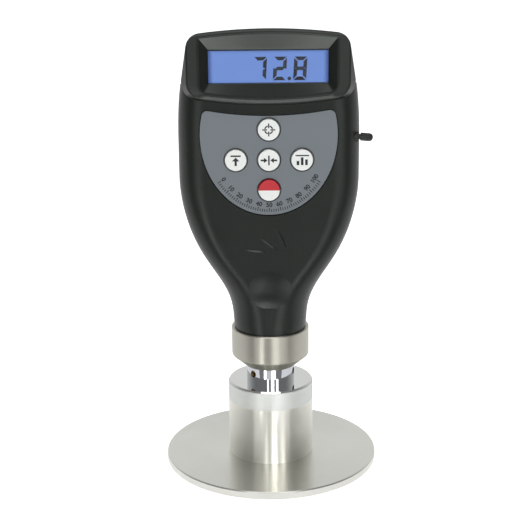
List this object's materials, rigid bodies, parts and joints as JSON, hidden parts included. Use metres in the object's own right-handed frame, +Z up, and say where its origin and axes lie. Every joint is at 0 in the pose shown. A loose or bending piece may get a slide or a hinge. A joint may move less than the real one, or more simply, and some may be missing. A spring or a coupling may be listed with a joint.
{
  "type": "foam hardness tester",
  "caption": "Handheld digital hardness tester for foam: bottle-shaped black case with display and keys on a steel neck, sleeve and wide round pressure foot, sprung indenter in the middle.",
  "frame": {"origin": "centre of the underside of the pressure foot, on the surface that the tester stands on", "axes": "+Z up along the measuring axis, +X to the user's right, the display and the keys face -Y"},
  "size_m": [0.08, 0.08, 0.1659],
  "materials": {
    "case_plastic": "fine-textured black moulding",
    "window_clear": "clear flat sheet",
    "display_blue": "lit liquid crystal",
    "backlight_white": "white light guide",
    "strip_rubber": "layered contact rubber",
    "panel_grey": "satin grey sheet",
    "key_white": "smooth off-white",
    "key_red": "smooth, red above and white below",
    "switch_black": "plain",
    "board_green": "coated board",
    "screw_steel": "plated",
    "grub_steel": "yellow-plated, darkened",
    "lead_grey": "flat lead",
    "plug_rubber": "soft matt",
    "cell_jacket": "plain jacket",
    "contact_nickel": "nickel-plated",
    "foot_metal": "turned satin",
    "sleeve_metal": "turned satin",
    "collar_steel": "polished, turned",
    "neck_chrome": "mirror bright",
    "indenter_metal": "turned, flat face",
    "rod_steel": "ground",
    "core_iron": "plain",
    "bush_brass": "turned",
    "holder_plastic": "plain",
    "winding_copper": "enamelled copper"
  },
  "bodies": {
    "housing": {"front_shell": "case_plastic", "rear_shell": "case_plastic", "display_window": "window_clear", "display_glass": "display_blue", "backlight_plate": "backlight_white", "contact_strips": "strip_rubber", "keypad_overlay": "panel_grey", "key_switches": "switch_black", "data_socket": "switch_black", "board_chips": "switch_black", "main_board": "board_green", "board_screws": "screw_steel", "case_screws": "screw_steel", "grub_screws": "grub_steel", "sensor_lead": "lead_grey", "battery_cells": "cell_jacket", "battery_contacts": "contact_nickel", "pressure_foot": "foot_metal", "sleeve": "sleeve_metal", "sleeve_cap": "sleeve_metal", "collar": "collar_steel", "neck_ring": "neck_chrome", "measuring_spring": "rod_steel", "guide_barrel": "rod_steel", "lower_bush": "bush_brass", "upper_bush": "bush_brass", "sensor_holder": "holder_plastic", "coil_bobbin": "holder_plastic", "coil_winding": "winding_copper"},
    "plunger": {"indenter": "indenter_metal", "plunger_rod": "rod_steel", "lock_nut": "rod_steel", "retaining_clip": "rod_steel", "spring_washer": "rod_steel", "sensor_core": "core_iron"},
    "key_calibrate": {"key_calibrate": "key_white"},
    "key_maximum": {"key_maximum": "key_white"},
    "key_zero": {"key_zero": "key_white"},
    "key_average": {"key_average": "key_white"},
    "key_power": {"key_power": "key_red"},
    "battery_cover": {"battery_cover": "case_plastic"},
    "dust_plug": {"dust_plug": "plug_rubber"}
  },
  "joints": [
    {"name": "plunger_slide", "type": "slide", "parent": "housing", "child": "plunger", "axis": [0, 0, -1], "range_m": [0, 0.00254], "stiffness_N_per_m": 750, "springref_m": 0.0029, "deforming": ["measuring_spring"]},
    {"name": "key_calibrate_press", "type": "slide", "parent": "housing", "child": "key_calibrate", "axis": [0, 1, 0], "range_m": [0, 0.0007], "stiffness_N_per_m": 200, "springref_m": -0.003},
    {"name": "key_maximum_press", "type": "slide", "parent": "housing", "child": "key_maximum", "axis": [0, 1, 0], "range_m": [0, 0.0007], "stiffness_N_per_m": 200, "springref_m": -0.003},
    {"name": "key_zero_press", "type": "slide", "parent": "housing", "child": "key_zero", "axis": [0, 1, 0], "range_m": [0, 0.0007], "stiffness_N_per_m": 200, "springref_m": -0.003},
    {"name": "key_average_press", "type": "slide", "parent": "housing", "child": "key_average", "axis": [0, 1, 0], "range_m": [0, 0.0007], "stiffness_N_per_m": 200, "springref_m": -0.003},
    {"name": "key_power_press", "type": "slide", "parent": "housing", "child": "key_power", "axis": [0, 1, 0], "range_m": [0, 0.0007], "stiffness_N_per_m": 200, "springref_m": -0.003},
    {"name": "battery_cover_slide", "type": "slide", "parent": "housing", "child": "battery_cover", "axis": [0, 0, 1], "range_m": [0, 0.075]},
    {"name": "dust_plug_pull", "type": "slide", "parent": "housing", "child": "dust_plug", "axis": [1, 0, 0], "range_m": [0, 0.012]}
  ]
}
